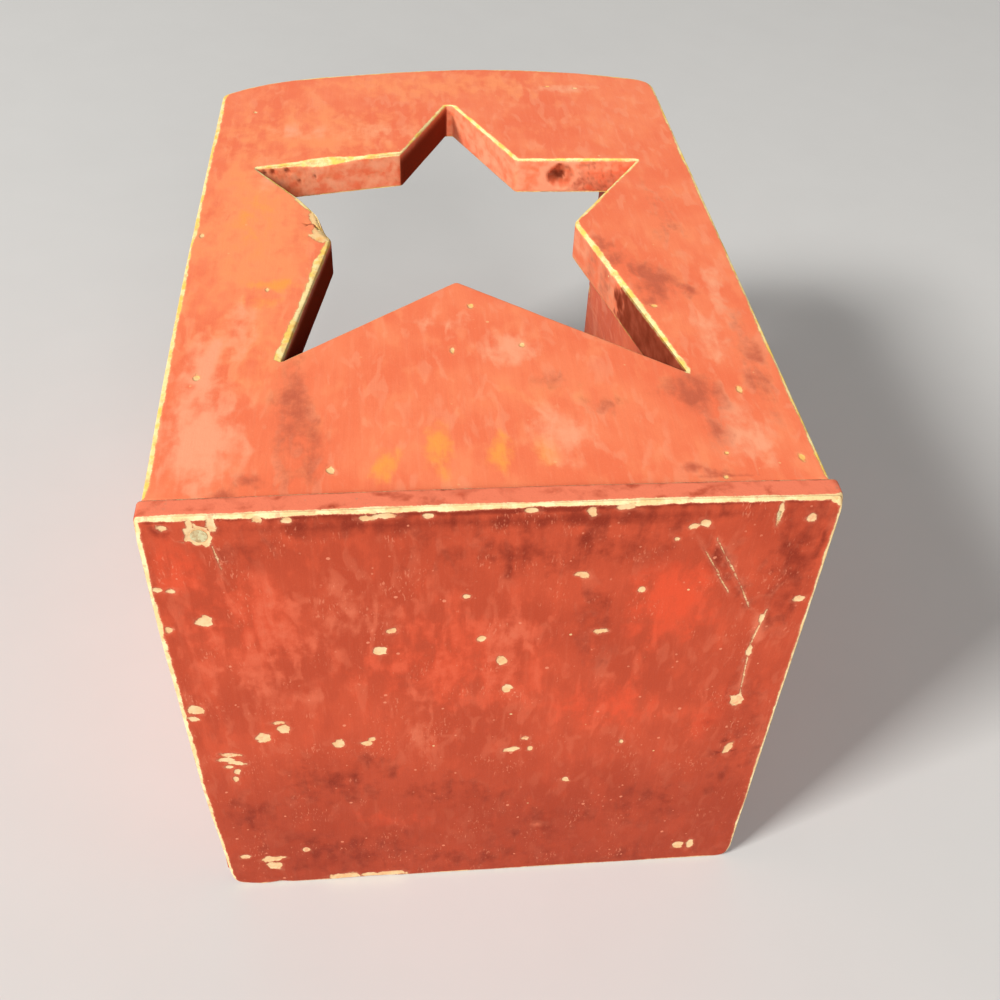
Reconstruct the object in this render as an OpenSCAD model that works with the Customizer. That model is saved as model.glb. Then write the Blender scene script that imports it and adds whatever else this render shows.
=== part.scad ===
// Open-topped wooden box with a star cut through its arched front board.
// It is modelled lying on its back board: X runs across the box, Y from the
// bottom board towards the open arched end, and Z up through the front board.
// The origin is under the middle of the whole box, on the surface it lies on.

/* [Overall] */
// Width of the bottom board, the widest piece
box_w = 254; // [200:1:320]
// Length from the outer face of the bottom board to the top of the arch
box_l = 386.5; // [320:0.5:480]
// Depth from the outer face of the back board to the face of the front board
box_depth = 250; // [180:1:320]

/* [Bottom board] */
// Thickness of the bottom board
bottom_t = 9.5; // [6:0.5:25]
// How far its edge stands proud of the front board's face
bottom_proud = 1.2; // [0:0.1:4]
// How far it stands past the front board's left edge
bottom_past_left = 1.5; // [0:0.5:12]
// How far it stands past the front board's right edge
bottom_past_right = 3.5; // [0:0.5:12]
// Radius of its two corners beside the front board
bottom_front_corner_r = 3.5; // [1:0.5:15]
// Radius of its two corners beside the back board
bottom_back_corner_r = 9; // [1:0.5:15]

/* [Front, back and side boards] */
// Thickness of the front board
front_t = 19; // [12:0.5:30]
// Thickness of the back board
back_t = 19; // [12:0.5:30]
// Thickness of each side board
side_t = 25; // [15:0.5:35]
// How far the front and back boards stand past each side board's outer face
side_inset = 4; // [0:0.5:12]
// Distance from the top of the arch down to the ends of the side and back boards
end_drop = 39.5; // [20:0.5:60]

/* [Arch] */
// Radius of the front board's arched end
arch_r = 310; // [250:5:500]
// How far the top of the hand-cut arch lies right of the middle
arch_shift = 25; // [-30:1:30]
// Radius of the left shoulder
left_shoulder_r = 8; // [2:0.5:20]
// Radius of the right shoulder
right_shoulder_r = 13; // [2:0.5:20]

/* [Star] */
// Wood left between the star's left tip and the board's left edge
star_margin_left = 23; // [18:0.5:40]
// Wood left between the star's right tip and the board's right edge
star_margin_right = 26.5; // [18:0.5:40]
// Wood left between the star's lowest tip and the bottom board
star_margin_foot = 68; // [50:1:90]
// Wood left between the star's top tip and the top of the arch
star_margin_top = 51.5; // [30:0.5:70]
// Width of the star's blunt top tip
star_top_flat = 4; // [1:0.5:8]

/* [Nails] */
// Length of the nails through the bottom board
bottom_nail_l = 40; // [30:1:50]
// Length of the nails through the front and back boards
edge_nail_l = 51; // [40:1:60]
// Diameter of a nail's shank
nail_d = 2.8; // [2:0.1:4]
// Diameter of a nail's head
nail_head_d = 6; // [4.5:0.5:8]
// Thickness of a nail's head
nail_head_t = 1.2; // [0.8:0.1:2]
// Length of a nail's tapered point
nail_point_l = 6; // [3:0.5:10]
// How deep the heads are set below the wood
nail_set = 0.3; // [0.1:0.1:1]
// Gap between a nail and the wood around it
nail_clearance = 0.1; // [0.05:0.05:0.3]
// Nails in each row through the bottom board into the front or back board
row_nails = 4; // [2:1:6]
// Nails through the bottom board into each side board
end_nails = 3; // [2:1:5]
// Nails along each edge of the front and back boards
edge_nails = 4; // [2:1:6]
// Distance from the front board's edge to the outermost nail of a row
row_nail_inset = 20.5; // [12:0.5:40]
// Distance between the nails into the end of a side board
end_nail_pitch = 60; // [30:1:80]
// Distance from the bottom board to the first nail along an edge
edge_nail_foot = 62.5; // [55:0.5:80]
// Distance from the last nail along an edge to the end of the side board
edge_nail_end = 21; // [15:0.5:60]

/* [Hidden] */
$fn = 96;
past = 1; // how far a cut runs past the face it opens in

front_left_x = -box_w / 2 + bottom_past_left;
front_right_x = box_w / 2 - bottom_past_right;
front_w = front_right_x - front_left_x;
middle_x = (front_left_x + front_right_x) / 2;

foot_y = bottom_t;                     // where the other boards start
end_y = box_l - end_drop;              // where the side and back boards stop
side_l = end_y - foot_y;
side_z = back_t;
side_h = box_depth - back_t - front_t;
side_outer = front_w / 2 - side_inset; // from middle_x to a side board's outer face
side_centre = side_outer - side_t / 2;

arch_x = middle_x + arch_shift;
arch_y = box_l - arch_r;

star_left_x = front_left_x + star_margin_left;
star_right_x = front_right_x - star_margin_right;
star_foot_y = foot_y + star_margin_foot;
star_top_y = box_l - star_margin_top;
star_w = star_right_x - star_left_x;
star_l = star_top_y - star_foot_y;

// The hand-cut star's corners, clockwise from its top tip, as shares of its width
// and length. Two of them round the worn edge between its left tip and left leg.
star_corners = [
    [0.518, 1], [0.677, 0.737], [1, 0.734], [0.786, 0.479], [0.936, 0], [0.483, 0.276],
    [0.111, 0.05], [0.202, 0.43], [0.167, 0.511], [0.115, 0.583], [0, 0.706], [0.375, 0.768],
];

// Turns that lay a nail, which points along +Z, into each board
into_bottom = [-90, 0, 0];
into_front = [180, 0, 0];
into_back = [0, 0, 0];

// n evenly spaced values, the first at a and the last at b
function spaced(a, b, n) = [for (i = [0 : n - 1]) a + (b - a) * i / (n - 1)];

row_xs = spaced(front_left_x + row_nail_inset, front_right_x - row_nail_inset, row_nails);
end_half = end_nail_pitch * (end_nails - 1) / 2;
end_zs = spaced(side_z + side_h / 2 - end_half, side_z + side_h / 2 + end_half, end_nails);
edge_ys = spaced(foot_y + edge_nail_foot, end_y - edge_nail_end, edge_nails);

function row_points(z) = [for (x = row_xs) [x, 0, z]];
function end_points(side) = [for (z = end_zs) [middle_x + side * side_centre, 0, z]];
function edge_points(side, z) = [for (y = edge_ys) [middle_x + side * side_centre, y, z]];

front_row = row_points(box_depth - front_t / 2);
back_row = row_points(back_t / 2);

// Moves what is built from the bottom board's outer face to the shared origin.
module in_frame() {
    translate([0, -box_l / 2, 0]) children();
}

// A nail driven along +Z through the wood's surface at z = 0. With a gap it is the
// hole that the nail leaves, open at the surface.
module nail(length, gap = 0) {
    head_z = gap > 0 ? -past : nail_set;
    head_end = nail_set + nail_head_t + gap;
    point_z = length - nail_point_l;
    translate([0, 0, head_z]) cylinder(d = nail_head_d + 2 * gap, h = head_end - head_z);
    translate([0, 0, nail_set]) cylinder(d = nail_d + 2 * gap, h = point_z - nail_set);
    translate([0, 0, point_z])
        cylinder(d1 = nail_d + 2 * gap, d2 = nail_d / 3 + 2 * gap, h = nail_point_l + gap);
}

module nails(points, turn, length, gap = 0) {
    for (p = points) translate(p) rotate(turn) nail(length, gap);
}

module nail_holes(points, turn, length) {
    nails(points, turn, length, nail_clearance);
}

// Every nail set along one side: -1 is the left and 1 the right.
module front_edge_holes(side) {
    nail_holes(edge_points(side, box_depth), into_front, edge_nail_l);
}

module back_edge_holes(side) {
    nail_holes(edge_points(side, 0), into_back, edge_nail_l);
}

module end_holes(side) {
    nail_holes(end_points(side), into_bottom, bottom_nail_l);
}

// What is cut from a square corner at the origin to round it. The corner's two
// edges run along +X and +Y.
module corner_waste(r) {
    difference() {
        translate([-past, -past]) square(r + past);
        translate([r, r]) circle(r);
    }
}

module bottom_outline() {
    bottom_h = box_depth + bottom_proud;
    difference() {
        translate([-box_w / 2, 0]) square([box_w, bottom_h]);
        for (side = [0, 1]) mirror([side, 0]) translate([-box_w / 2, 0]) {
            corner_waste(bottom_back_corner_r);
            translate([0, bottom_h]) mirror([0, 1]) corner_waste(bottom_front_corner_r);
        }
    }
}

module bottom_board() {
    color([0.62, 0.20, 0.14]) in_frame() difference() {
        translate([0, bottom_t, 0]) rotate([90, 0, 0]) linear_extrude(bottom_t) bottom_outline();
        nail_holes(front_row, into_bottom, bottom_nail_l);
        nail_holes(back_row, into_bottom, bottom_nail_l);
        for (side = [-1, 1]) end_holes(side);
    }
}

// The centre of the circle that rounds a shoulder, tangent to the board's straight
// edge and to the arch.
function shoulder_centre(side, r) =
    let (x = (side < 0 ? front_left_x : front_right_x) - side * r)
    [x, arch_y + sqrt(pow(arch_r - r, 2) - pow(x - arch_x, 2))];

// Rounds one shoulder of the arched outline with a circle of radius r.
module with_round_shoulder(side, r) {
    c = shoulder_centre(side, r);
    edge_x = side < 0 ? front_left_x : front_right_x;
    reach = arch_r / (arch_r - r);
    on_arch = [arch_x + (c.x - arch_x) * reach, arch_y + (c.y - arch_y) * reach];
    difference() {
        children();
        polygon([[edge_x, c.y], [edge_x + side * past, c.y], [edge_x + side * past, box_l],
                 [on_arch.x, box_l], on_arch]);
    }
    translate(c) circle(r);
}

module arched_outline() {
    with_round_shoulder(-1, left_shoulder_r) with_round_shoulder(1, right_shoulder_r)
        intersection() {
            translate([front_left_x, foot_y]) square([front_w, box_l - foot_y]);
            translate([arch_x, arch_y]) circle(arch_r, $fn = 360);
        }
}

function on_star(corner) =
    [star_left_x + star_w * corner.x, star_foot_y + star_l * corner.y];

module star_outline() {
    tip = on_star(star_corners[0]);
    rest = [for (i = [1 : len(star_corners) - 1]) on_star(star_corners[i])];
    polygon(concat([[tip.x - star_top_flat / 2, tip.y], [tip.x + star_top_flat / 2, tip.y]], rest));
}

module front_board() {
    color([0.75, 0.27, 0.18]) in_frame() difference() {
        translate([0, 0, box_depth - front_t]) linear_extrude(front_t) difference() {
            arched_outline();
            star_outline();
        }
        nail_holes(front_row, into_bottom, bottom_nail_l);
        for (side = [-1, 1]) front_edge_holes(side);
    }
}

module back_board() {
    color([0.58, 0.19, 0.14]) in_frame() difference() {
        translate([front_left_x, foot_y, 0]) cube([front_w, side_l, back_t]);
        nail_holes(back_row, into_bottom, bottom_nail_l);
        for (side = [-1, 1]) back_edge_holes(side);
    }
}

module side_board(side) {
    inner_left = side < 0 ? -side_outer : side_outer - side_t;
    color([0.66, 0.22, 0.15]) in_frame() difference() {
        translate([middle_x + inner_left, foot_y, side_z]) cube([side_t, side_l, side_h]);
        end_holes(side);
        front_edge_holes(side);
        back_edge_holes(side);
    }
}

module nail_row(points, turn, length) {
    color([0.30, 0.28, 0.26]) in_frame() nails(points, turn, length);
}

bottom_board();
front_board();
back_board();
side_board(-1);  // left_side_board
side_board(1);  // right_side_board
nail_row(front_row, into_bottom, bottom_nail_l);  // bottom_nails_front
nail_row(back_row, into_bottom, bottom_nail_l);  // bottom_nails_back
nail_row(end_points(-1), into_bottom, bottom_nail_l);  // bottom_nails_left
nail_row(end_points(1), into_bottom, bottom_nail_l);  // bottom_nails_right
nail_row(edge_points(-1, box_depth), into_front, edge_nail_l);  // front_nails_left
nail_row(edge_points(1, box_depth), into_front, edge_nail_l);  // front_nails_right
nail_row(edge_points(-1, 0), into_back, edge_nail_l);  // back_nails_left
nail_row(edge_points(1, 0), into_back, edge_nail_l);  // back_nails_right
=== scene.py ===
import math
from collections import namedtuple

import bmesh
import bpy
import numpy as np
from mathutils import Matrix, Vector, noise
from mathutils.geometry import delaunay_2d_cdt


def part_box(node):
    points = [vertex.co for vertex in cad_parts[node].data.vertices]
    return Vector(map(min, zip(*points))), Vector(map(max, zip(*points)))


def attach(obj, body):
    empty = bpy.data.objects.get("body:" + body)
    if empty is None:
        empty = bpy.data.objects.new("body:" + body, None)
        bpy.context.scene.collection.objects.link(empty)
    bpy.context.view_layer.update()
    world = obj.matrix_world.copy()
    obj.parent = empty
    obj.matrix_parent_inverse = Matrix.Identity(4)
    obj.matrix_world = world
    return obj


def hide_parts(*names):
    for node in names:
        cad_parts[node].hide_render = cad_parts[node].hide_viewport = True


# A painted wooden candle box, lying on its back. The frame holds its boards and nails.
# Here each board gets its worn outline, chips and paint. All sizes below are in
# millimetres and in the frame's axes: X across the box, Y from the bottom board to the
# open end, Z up through the front board. MM turns them into Blender's metres.
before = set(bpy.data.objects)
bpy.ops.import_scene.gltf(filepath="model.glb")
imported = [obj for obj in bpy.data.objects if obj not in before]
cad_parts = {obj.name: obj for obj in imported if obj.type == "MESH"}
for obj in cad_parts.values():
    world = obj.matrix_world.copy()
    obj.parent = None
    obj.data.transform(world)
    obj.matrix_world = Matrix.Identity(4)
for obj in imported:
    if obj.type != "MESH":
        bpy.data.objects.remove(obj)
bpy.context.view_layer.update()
MM = 0.001

# ---- camera, light, floor

CAMERA_PLACE = (-34.5, -481.7, 521.5)
CAMERA_AIM = (17.3, -54.9, 125.0)
CAMERA_ROLL = 2.86           # degrees that the camera leans to its left
CAMERA_LENS = 40.63          # on a 36 mm sensor
LAMP_AIM = (0, 0, 150)
KEY_LAMP = dict(location=(-5300, -3000, 5050), size=1800, power=624)     # power in watts
FILL_LAMP = dict(location=(200, -7200, 3250), size=4000, power=352)
AMBIENT_LIGHT = 0.2          # strength of the even light from all round
BACKGROUND_LEVEL = 0.8       # how bright the background looks past the floor's end
FLOOR_SIZE = 9000
FLOOR_DROP = 0.4             # keeps the floor clear of the back board's worn face


def place(values):
    """A point in millimetres as a Blender vector."""
    return Vector(values) * MM


def aimed(location, target, roll=0.0):
    """The matrix of a camera or lamp at location that looks at target."""
    turn = (target - location).to_track_quat("-Z", "Y").to_matrix().to_4x4()
    return Matrix.Translation(location) @ turn @ Matrix.Rotation(math.radians(roll), 4, "Z")


def add_object(name, data):
    """A new object in the scene, made of this camera, lamp or mesh."""
    added = bpy.data.objects.new(name, data)
    bpy.context.scene.collection.objects.link(added)
    return added


def make_camera():
    """The camera where the photograph was taken from."""
    data = bpy.data.cameras.new("photo_camera")
    data.lens = CAMERA_LENS
    camera = add_object("photo_camera", data)
    camera.matrix_world = aimed(place(CAMERA_PLACE), place(CAMERA_AIM), CAMERA_ROLL)
    bpy.context.scene.camera = camera


def make_lamp(name, location, size, power):
    """A square soft light, aimed at the box."""
    data = bpy.data.lights.new(name, "AREA")
    data.shape = "SQUARE"
    data.size = size * MM
    data.energy = power
    add_object(name, data).matrix_world = aimed(place(location), place(LAMP_AIM))


def make_world():
    """Even light from all round, and a pale background where the floor ends."""
    world = bpy.data.worlds.new("studio")
    bpy.context.scene.world = world
    world.use_nodes = True
    nodes, links = world.node_tree.nodes, world.node_tree.links
    rays = nodes.new("ShaderNodeLightPath")
    seen = rays.outputs["Is Camera Ray"]
    for kind in ("Is Glossy Ray", "Is Transmission Ray"):
        either = nodes.new("ShaderNodeMath")
        either.operation = "MAXIMUM"
        links.new(seen, either.inputs[0])
        links.new(rays.outputs[kind], either.inputs[1])
        seen = either.outputs[0]
    level = nodes.new("ShaderNodeMapRange")
    level.inputs["To Min"].default_value = AMBIENT_LIGHT
    level.inputs["To Max"].default_value = BACKGROUND_LEVEL
    links.new(seen, level.inputs["Value"])
    links.new(level.outputs[0], nodes["Background"].inputs["Strength"])
    nodes["Background"].inputs["Color"].default_value = (1, 1, 1, 1)


# ---- noise and outlines

Corner = namedtuple("Corner", "u v cut wear bow", defaults=(0.0,))
Corner.__doc__ = """A corner of a board's outline. cut is how far its rounding reaches along
each edge; wear and bow belong to the edge after it: how wide its arris is worn down to
the undercoat, and how far it swells outwards at its middle."""

Mark = namedtuple("Mark", "u v half_u half_v strength tilt", defaults=(1.0, 0.0))
Mark.__doc__ = """A chip, a stain or a worn place: its middle, half sizes, strength and tilt in
degrees."""

STAINS = ("faded", "glow", "pale", "dark")       # in the order that they lie on the paint; on the star's walls pale and dark also carry painted light and shade
STAIN_ON_INNER_FACE = 0.6                        # how much of a stain the other face has
ARRIS_DEPTHS = (0.35, 0.8, 1.4, 2.2, 3.4, 5.0)   # rings of points inside an outline
FAR = 6.0                                        # no wear counts beyond this distance
SHARPEST_ARRIS = 0.15
ROUNDEST_ARRIS = 5.5
CHIP_RECESS = 0.22                               # how deep a chip lies below the paint
RUBBED_RECESS = 0.12                             # and a place where the paint is rubbed off


def marks(rows):
    """Marks from rows of their values."""
    return [Mark(*row) for row in rows]


def ripple(points, size, seed=0.0):
    """Smooth noise from -1 to 1 at each flat or solid point, with features of size mm."""
    shift = Vector((seed * 17.3, seed * 5.1, seed * 9.7))
    scaled = np.asarray(points, float) / np.asarray(size, float)
    return np.array([noise.noise(Vector(p).to_3d() + shift) for p in scaled])


def smooth_step(value, low, high):
    """0 below low, 1 above high, and a smooth rise between them."""
    t = np.clip((value - low) / (high - low), 0, 1)
    return t * t * (3 - 2 * t)


def trace(corners, step):
    """Points every step mm or so round an outline, as (positions, arris wear).

    Solid wood lies to the left of the line, so a board's own outline runs
    anticlockwise and a cut-out runs clockwise."""
    points, wear, corner_at = [], [], []
    for here, there in zip(corners, corners[1:] + corners[:1]):
        a, b = np.array([here.u, here.v], float), np.array([there.u, there.v], float)
        length = np.linalg.norm(b - a)
        outwards = np.array([b[1] - a[1], a[0] - b[0]]) / length
        t = np.arange(max(1, round(length / step)))[:, None] / max(1, round(length / step))
        corner_at.append(len(points))
        points.extend(a + t * (b - a) + 4 * t * (1 - t) * here.bow * outwards)
        wear.extend([here.wear] * len(t))
    points, wear = np.array(points), np.array(wear)
    return round_corners(points, corners, corner_at), wear


def round_corners(points, corners, corner_at):
    """Bends the line round each corner in a curve that starts and ends cut mm from it."""
    gaps = np.linalg.norm(np.roll(points, -1, 0) - points, axis=1)
    total = gaps.sum()
    along = np.concatenate([[0], np.cumsum(gaps)[:-1]])
    rounded = points.copy()
    for corner, index in zip(corners, corner_at):
        if corner.cut == 0:
            continue
        offset = (along - along[index] + total / 2) % total - total / 2
        near = np.abs(offset) < corner.cut
        start, end = (
            [np.interp(along[index] + side * corner.cut, along, points[:, k], period=total)
             for k in (0, 1)]
            for side in (-1, 1))
        t = ((offset[near] + corner.cut) / (2 * corner.cut))[:, None]
        tip = points[index]
        rounded[near] = (1 - t) ** 2 * start + 2 * t * (1 - t) * tip + t ** 2 * end
    return rounded


def left_normals(line):
    """The unit vector at each point of a closed line that points to its left."""
    ahead = np.roll(line, -1, 0) - np.roll(line, 1, 0)
    normal = np.stack([-ahead[:, 1], ahead[:, 0]], 1)
    return normal / np.linalg.norm(normal, axis=1)[:, None]


def is_inside(points, lines):
    """True for each point that lies in the wood: inside the outline and outside its holes."""
    crossings = np.zeros(len(points), int)
    for line in lines:
        a, b = line[None], np.roll(line, -1, 0)[None]
        u, v = points[:, 0, None], points[:, 1, None]
        spans = (a[..., 1] > v) != (b[..., 1] > v)
        rise = np.where(b[..., 1] == a[..., 1], 1, b[..., 1] - a[..., 1])
        crossings += (spans & (u < (b[..., 0] - a[..., 0]) * (v - a[..., 1]) / rise
                               + a[..., 0])).sum(1)
    return crossings % 2 == 1


def nearest(points, lines):
    """Each point's distance from the outlines, direction away from them, and nearest sample."""
    start = np.concatenate(lines)
    step = np.concatenate([np.roll(line, -1, 0) - line for line in lines])
    distance, away, sample = [], [], []
    for part in np.array_split(points, len(points) // 1200 + 1):
        offset = part[:, None] - start
        t = np.clip((offset * step).sum(2) / (step ** 2).sum(1), 0, 1)
        gap = offset - t[..., None] * step
        index = (gap ** 2).sum(2).argmin(1)
        row = np.arange(len(part))
        shortest = gap[row, index]
        length = np.linalg.norm(shortest, axis=1)
        distance.append(length)
        away.append(shortest / np.maximum(length, 1e-9)[:, None])
        sample.append(index)
    return np.concatenate(distance), np.concatenate(away), np.concatenate(sample)


def local_uv(points, mark):
    """Each point seen from a mark, turned with it and divided by its half sizes."""
    turn = math.radians(mark.tilt)
    du, dv = points[:, 0] - mark.u, points[:, 1] - mark.v
    along = (du * math.cos(turn) + dv * math.sin(turn)) / mark.half_u
    across = (dv * math.cos(turn) - du * math.sin(turn)) / mark.half_v
    return along, across


def chip_depth(points, chips):
    """How far inside the nearest chip each point is, in mm: negative outside them."""
    ragged = 0.45 * ripple(points, 2.9, 3) + 0.2 * ripple(points, 1.2, 4)
    depth = np.full(len(points), -FAR)
    for chip in chips:
        along, across = local_uv(points, chip)
        size = min(chip.half_u, chip.half_v)
        reach = np.hypot(along, across)
        depth = np.maximum(depth, (1 - reach * (1 + ragged)) * size)
    return depth


def stain_field(points, stains):
    """The strength of the strongest stain at each point, from 0 to 1."""
    field = np.zeros(len(points))
    for stain in stains:
        along, across = local_uv(points, stain)
        field = np.maximum(field, stain.strength * np.exp(-along ** 2 - across ** 2))
    return field


def chip_points(chips):
    """Extra mesh points in and round each chip, so that its edge is a real step."""
    found = []
    for chip in chips:
        pitch_u = np.clip(chip.half_u / 3, 0.4, 0.9)
        pitch_v = np.clip(chip.half_v / 3, 0.4, 0.9)
        steps_u = math.ceil((chip.half_u + 1) / pitch_u)
        steps_v = math.ceil((chip.half_v + 1) / pitch_v)
        u, v = np.meshgrid(np.arange(-steps_u, steps_u + 1) * pitch_u,
                           np.arange(-steps_v, steps_v + 1) * pitch_v)
        turn = math.radians(chip.tilt)
        found.append(np.column_stack([
            chip.u + u.ravel() * math.cos(turn) - v.ravel() * math.sin(turn),
            chip.v + u.ravel() * math.sin(turn) + v.ravel() * math.cos(turn)]))
    if not found:
        return np.zeros((0, 2))
    points = np.concatenate(found)
    _, first = np.unique(np.round(points / 0.45), axis=0, return_index=True)
    return points[np.sort(first)]


# ---- the board mesh

class Board:
    """A board with worn arrises, cut to an outline and given a thickness.

    uvw names the frame axes that the outline's u and v and the thickness run along.
    outer and inner are where its two faces lie on the third axis. step, grid and
    wall_pitch space the mesh's points. arris and inner_arris say how round the edges of
    the two faces are worn, and bites are places where the outer one is worn more."""

    def __init__(self, node, slot, uvw, outlines, outer, inner, step=1.2, grid=5.0,
                 wall_pitch=2.4, arris=0.8, inner_arris=0.5, inner_wear=0.3,
                 chips=(), bites=(), stains=None):
        self.node, self.slot, self.uvw = node, slot, uvw
        self.outer = outer
        self.thick = abs(inner - outer)
        self.inwards = math.copysign(1, inner - outer)
        self.chips, self.stains = list(chips), stains or {}
        traced = [trace(outline, step) for outline in outlines]
        self.lines = [line for line, _ in traced]
        self.rim = np.concatenate(self.lines)
        self.rim_wear = np.concatenate([wear for _, wear in traced])
        self.rim_normal = np.concatenate([left_normals(line) for line in self.lines])
        self.inner_wear = inner_wear
        self.arris = self.worn_radius(arris, bites, 1)
        # paint goes too where an arris is worn rounder than usual
        self.rim_wear = np.maximum(self.rim_wear, 1.5 * (self.arris - 1.3))
        self.inner_arris = self.worn_radius(inner_arris, (), 2)
        self.lay_out(grid, wall_pitch)

    def worn_radius(self, radius, bites, seed):
        """How round the arris is worn at each point of the outline."""
        spread = 1 + 0.3 * ripple(self.rim, 16, seed) + 0.25 * ripple(self.rim, 4.5, seed + 5)
        worn = radius * spread
        for bite in bites:
            along, across = local_uv(self.rim, bite)
            worn = np.maximum(worn, bite.strength * np.exp(-along ** 2 - across ** 2))
        return np.clip(worn, SHARPEST_ARRIS, min(ROUNDEST_ARRIS, self.thick * 0.45))

    def lay_out(self, grid, wall_pitch):
        """Places all points of the board, before any wear, and joins them up."""
        flat, triangles = self.triangulate(grid)
        rims, faces = len(self.rim), len(flat)
        depths = self.wall_depths(wall_pitch)
        middle = len(depths) - 2
        self.uv = np.concatenate([flat, flat] + [self.rim] * middle)
        self.depth = np.concatenate(
            [np.zeros(faces), np.full(faces, self.thick)]
            + [np.full(rims, depth) for depth in depths[1:-1]])
        distance, away, sample = nearest(flat, self.lines)
        away[:rims], distance[:rims], sample[:rims] = self.rim_normal, 0, np.arange(rims)
        self.from_rim = np.concatenate([distance, distance, np.zeros(rims * middle)])
        self.away = np.concatenate([away, away] + [self.rim_normal] * middle)
        self.sample = np.concatenate([sample, sample] + [np.arange(rims)] * middle)
        self.on_wall = np.arange(len(self.uv)) >= 2 * faces
        self.on_outer = np.arange(len(self.uv)) < faces
        self.polygons = [tuple(t) for t in triangles] + [
            tuple(faces + i for i in reversed(t)) for t in triangles]
        rows = [np.arange(rims)] + [2 * faces + k * rims + np.arange(rims)
                                    for k in range(middle)] + [faces + np.arange(rims)]
        self.polygons += self.wall_polygons(rows)

    def triangulate(self, grid):
        """The outline filled with points, close together near its arris and its chips."""
        every = [1 if depth < 2 else 2 for depth in ARRIS_DEPTHS]
        rings = [self.rim[::skip] + depth * self.rim_normal[::skip]
                 for skip, depth in zip(every, ARRIS_DEPTHS)]
        ring_depth = np.concatenate([np.full(len(r), d) for r, d in zip(rings, ARRIS_DEPTHS)])
        ring_points = np.concatenate(rings)
        low, high = self.rim.min(0), self.rim.max(0)
        u, v = np.meshgrid(np.arange(low[0], high[0], grid), np.arange(low[1], high[1], grid))
        u[::2] += grid / 2
        inner_points = np.column_stack([u.ravel(), v.ravel()])
        chips = chip_points(self.chips)
        points = np.concatenate([ring_points, inner_points, chips])
        least = np.concatenate([ring_depth * 0.96,
                                np.full(len(inner_points), ARRIS_DEPTHS[-1] + grid * 0.4),
                                np.full(len(chips), 0.3)])
        kept = is_inside(points, self.lines)
        points, least = points[kept], least[kept]
        points = points[nearest(points, self.lines)[0] >= least]
        flat = np.concatenate([self.rim, points])
        edges, first = [], 0
        for line in self.lines:
            edges += [(first + i, first + (i + 1) % len(line)) for i in range(len(line))]
            first += len(line)
        found = delaunay_2d_cdt([Vector(p) for p in flat], edges, [], 0, 1e-6)
        order = [old[0] for old in found[3]]
        triangles = np.array([[order[i] for i in t] for t in found[2]])
        return flat, triangles[is_inside(flat[triangles].mean(1), self.lines)].tolist()

    def wall_depths(self, pitch):
        """Depths below the outer face at which the walls have a row of points."""
        close = [d for d in ARRIS_DEPTHS[:-1] if d < self.thick / 2 - 0.8]
        span = self.thick - 2 * close[-1]
        count = max(1, round(span / pitch))
        between = [close[-1] + span * k / count for k in range(1, count)]
        return [0] + close + between + [self.thick - d for d in reversed(close)] + [self.thick]

    def wall_polygons(self, rows):
        """Four-sided faces between the rows of points on each wall."""
        found, first = [], 0
        for line in self.lines:
            here = first + np.arange(len(line))
            there = first + (np.arange(len(line)) + 1) % len(line)
            for upper, lower in zip(rows, rows[1:]):
                found += zip(upper[here].tolist(), lower[here].tolist(),
                             lower[there].tolist(), upper[there].tolist())
            first += len(line)
        return found

    def positions(self, uv=None, depth=None):
        """All points in the frame's axes, as laid out or moved to this uv and depth."""
        uv = self.uv if uv is None else uv
        depth = self.depth if depth is None else depth
        points = np.zeros((len(uv), 3))
        points[:, self.uvw[0]] = uv[:, 0]
        points[:, self.uvw[1]] = uv[:, 1]
        points[:, self.uvw[2]] = self.outer + self.inwards * depth
        return points

    def round_arrises(self):
        """The points after the arrises are rounded: their place on the outline's plane,
        and their depth below the outer face."""
        uv, depth = self.uv.copy(), self.depth.copy()
        for radius, is_outer in ((self.arris, True), (self.inner_arris, False)):
            worn = radius[self.sample]
            below = self.depth if is_outer else self.thick - self.depth
            sign = 1 if is_outer else -1
            on_face = ~self.on_wall & (self.on_outer == is_outer)
            reach = np.where(on_face, self.from_rim, below)
            turn = np.clip(1 - reach / worn, 0, 1) * math.pi / 4
            along = np.where(reach < worn, worn * (1 - np.sin(turn)), reach)
            drop = worn * (1 - np.cos(turn))
            shift = np.where(on_face, along - self.from_rim,
                             np.where(self.on_wall, drop, 0))
            uv += shift[:, None] * self.away
            depth += sign * np.where(on_face, drop,
                                     np.where(self.on_wall & (reach < worn), along - below, 0))
        return uv, depth

    def wear_fields(self):
        """The numbers at each point that the paint's material reads."""
        points = self.positions()
        uneven = np.clip(1 + 0.6 * ripple(points, 22, 7) + 0.3 * ripple(points, 3.2, 8), 0.3, 2)
        wear = self.rim_wear[self.sample]
        outer_reach = np.where(self.on_wall, self.depth, self.from_rim)
        inner_reach = np.where(self.on_wall, self.thick - self.depth, self.from_rim)
        wall_share = np.where(self.on_wall, 0.6, 1.0)
        outer_edge = wear * uneven * wall_share - outer_reach
        inner_edge = self.inner_wear * uneven - inner_reach
        on_inner = ~self.on_wall & ~self.on_outer
        edge = np.where(on_inner, inner_edge,
                        np.where(self.on_wall, np.maximum(outer_edge, inner_edge), outer_edge))
        fields = {"edge": np.maximum(edge, -FAR)}
        fields["chip"] = np.where(self.on_outer, chip_depth(self.uv, self.chips), -FAR)
        for name in STAINS:
            stain = stain_field(self.uv, self.stains.get(name, ()))
            fields[name] = np.where(self.on_outer | self.on_wall, stain,
                                    stain * STAIN_ON_INNER_FACE)
        # the carve functions fill these two: dark wood and painted shade on the star's walls, and
        # painted shade on the bottom board's lower part
        fields["rough"] = np.zeros(len(points))
        fields["grimy"] = np.zeros(len(points))
        return fields

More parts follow.
